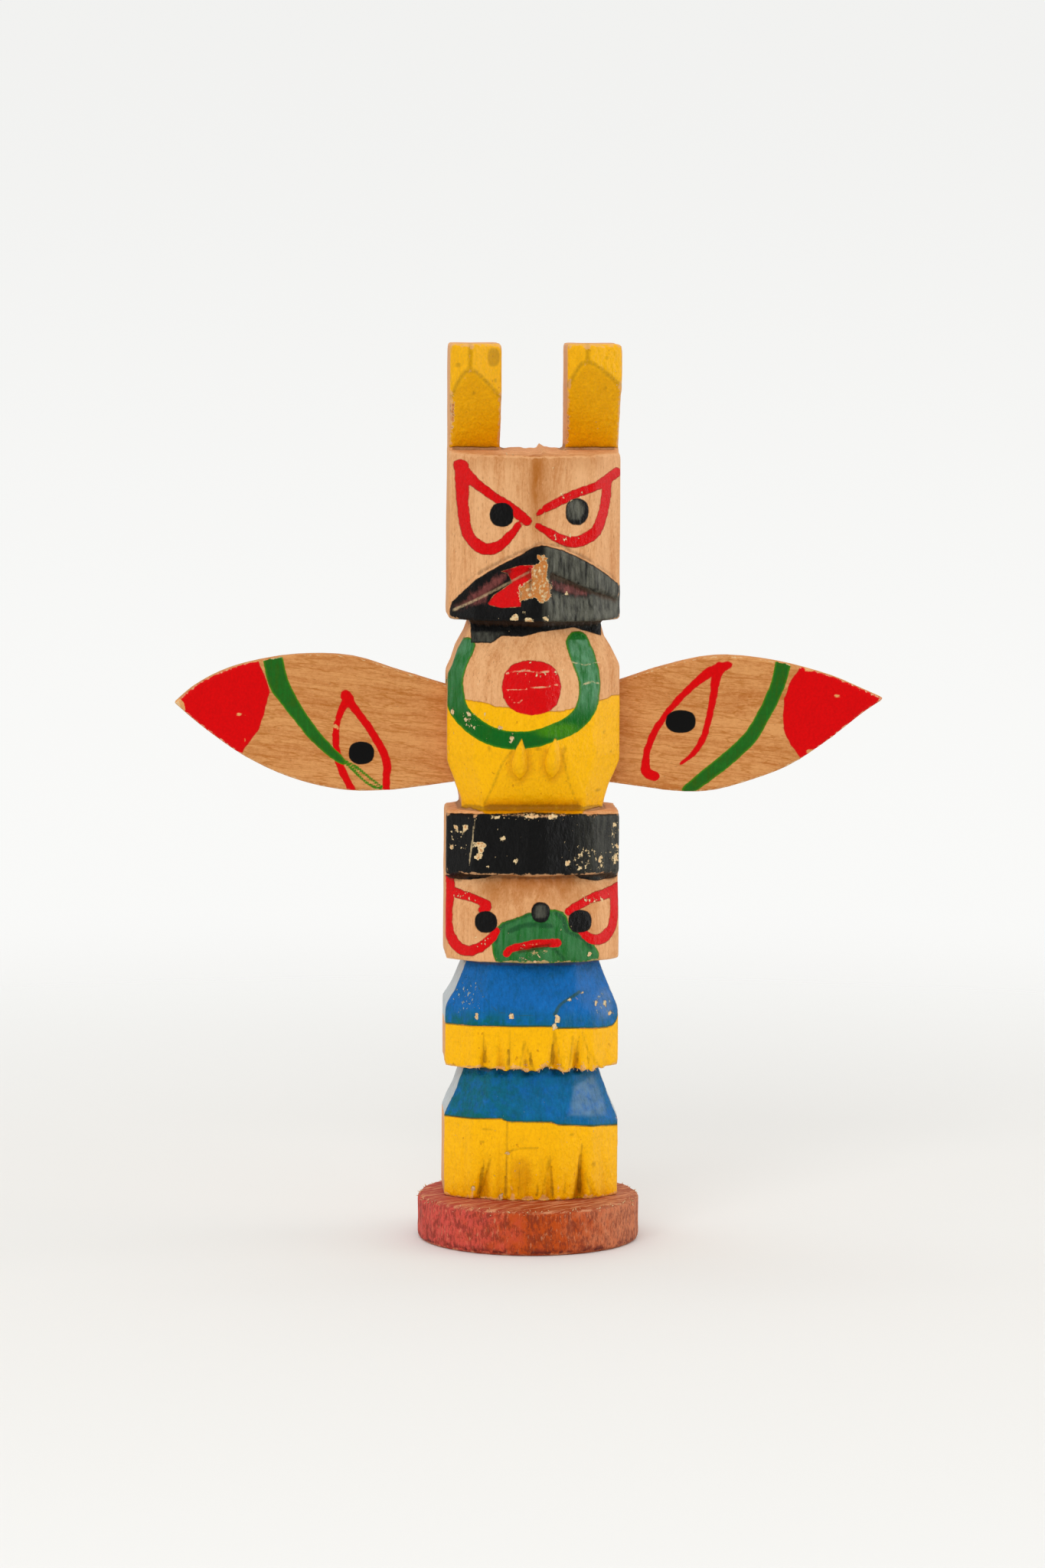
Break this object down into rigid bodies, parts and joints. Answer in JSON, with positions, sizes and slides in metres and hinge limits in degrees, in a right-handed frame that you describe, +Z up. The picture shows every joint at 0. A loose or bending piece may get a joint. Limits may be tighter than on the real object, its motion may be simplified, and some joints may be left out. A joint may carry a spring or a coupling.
{
  "type": "totem pole",
  "caption": "Small painted wooden totem pole with carved stacked figures, thin wing boards let into its sides and a round base that it stands on.",
  "frame": {"origin": "centre of the base's underside", "axes": "+Z up along the pole, the carved front faces -Y, the wings spread along X"},
  "size_m": [0.111, 0.0346, 0.14],
  "materials": {
    "painted_wood": "bare light hardwood with worn gloss enamel paint in red, black, green, yellow and blue",
    "wing_wood": "bare sanded board with painted red tips, green bands and black-dotted red eyes",
    "stained_wood": "rough-sawn wood with a thin red-brown stain"
  },
  "bodies": {
    "root": {"pole": "painted_wood", "left_wing": "wing_wood", "right_wing": "wing_wood", "base_disc": "stained_wood"}
  },
  "joints": []
}
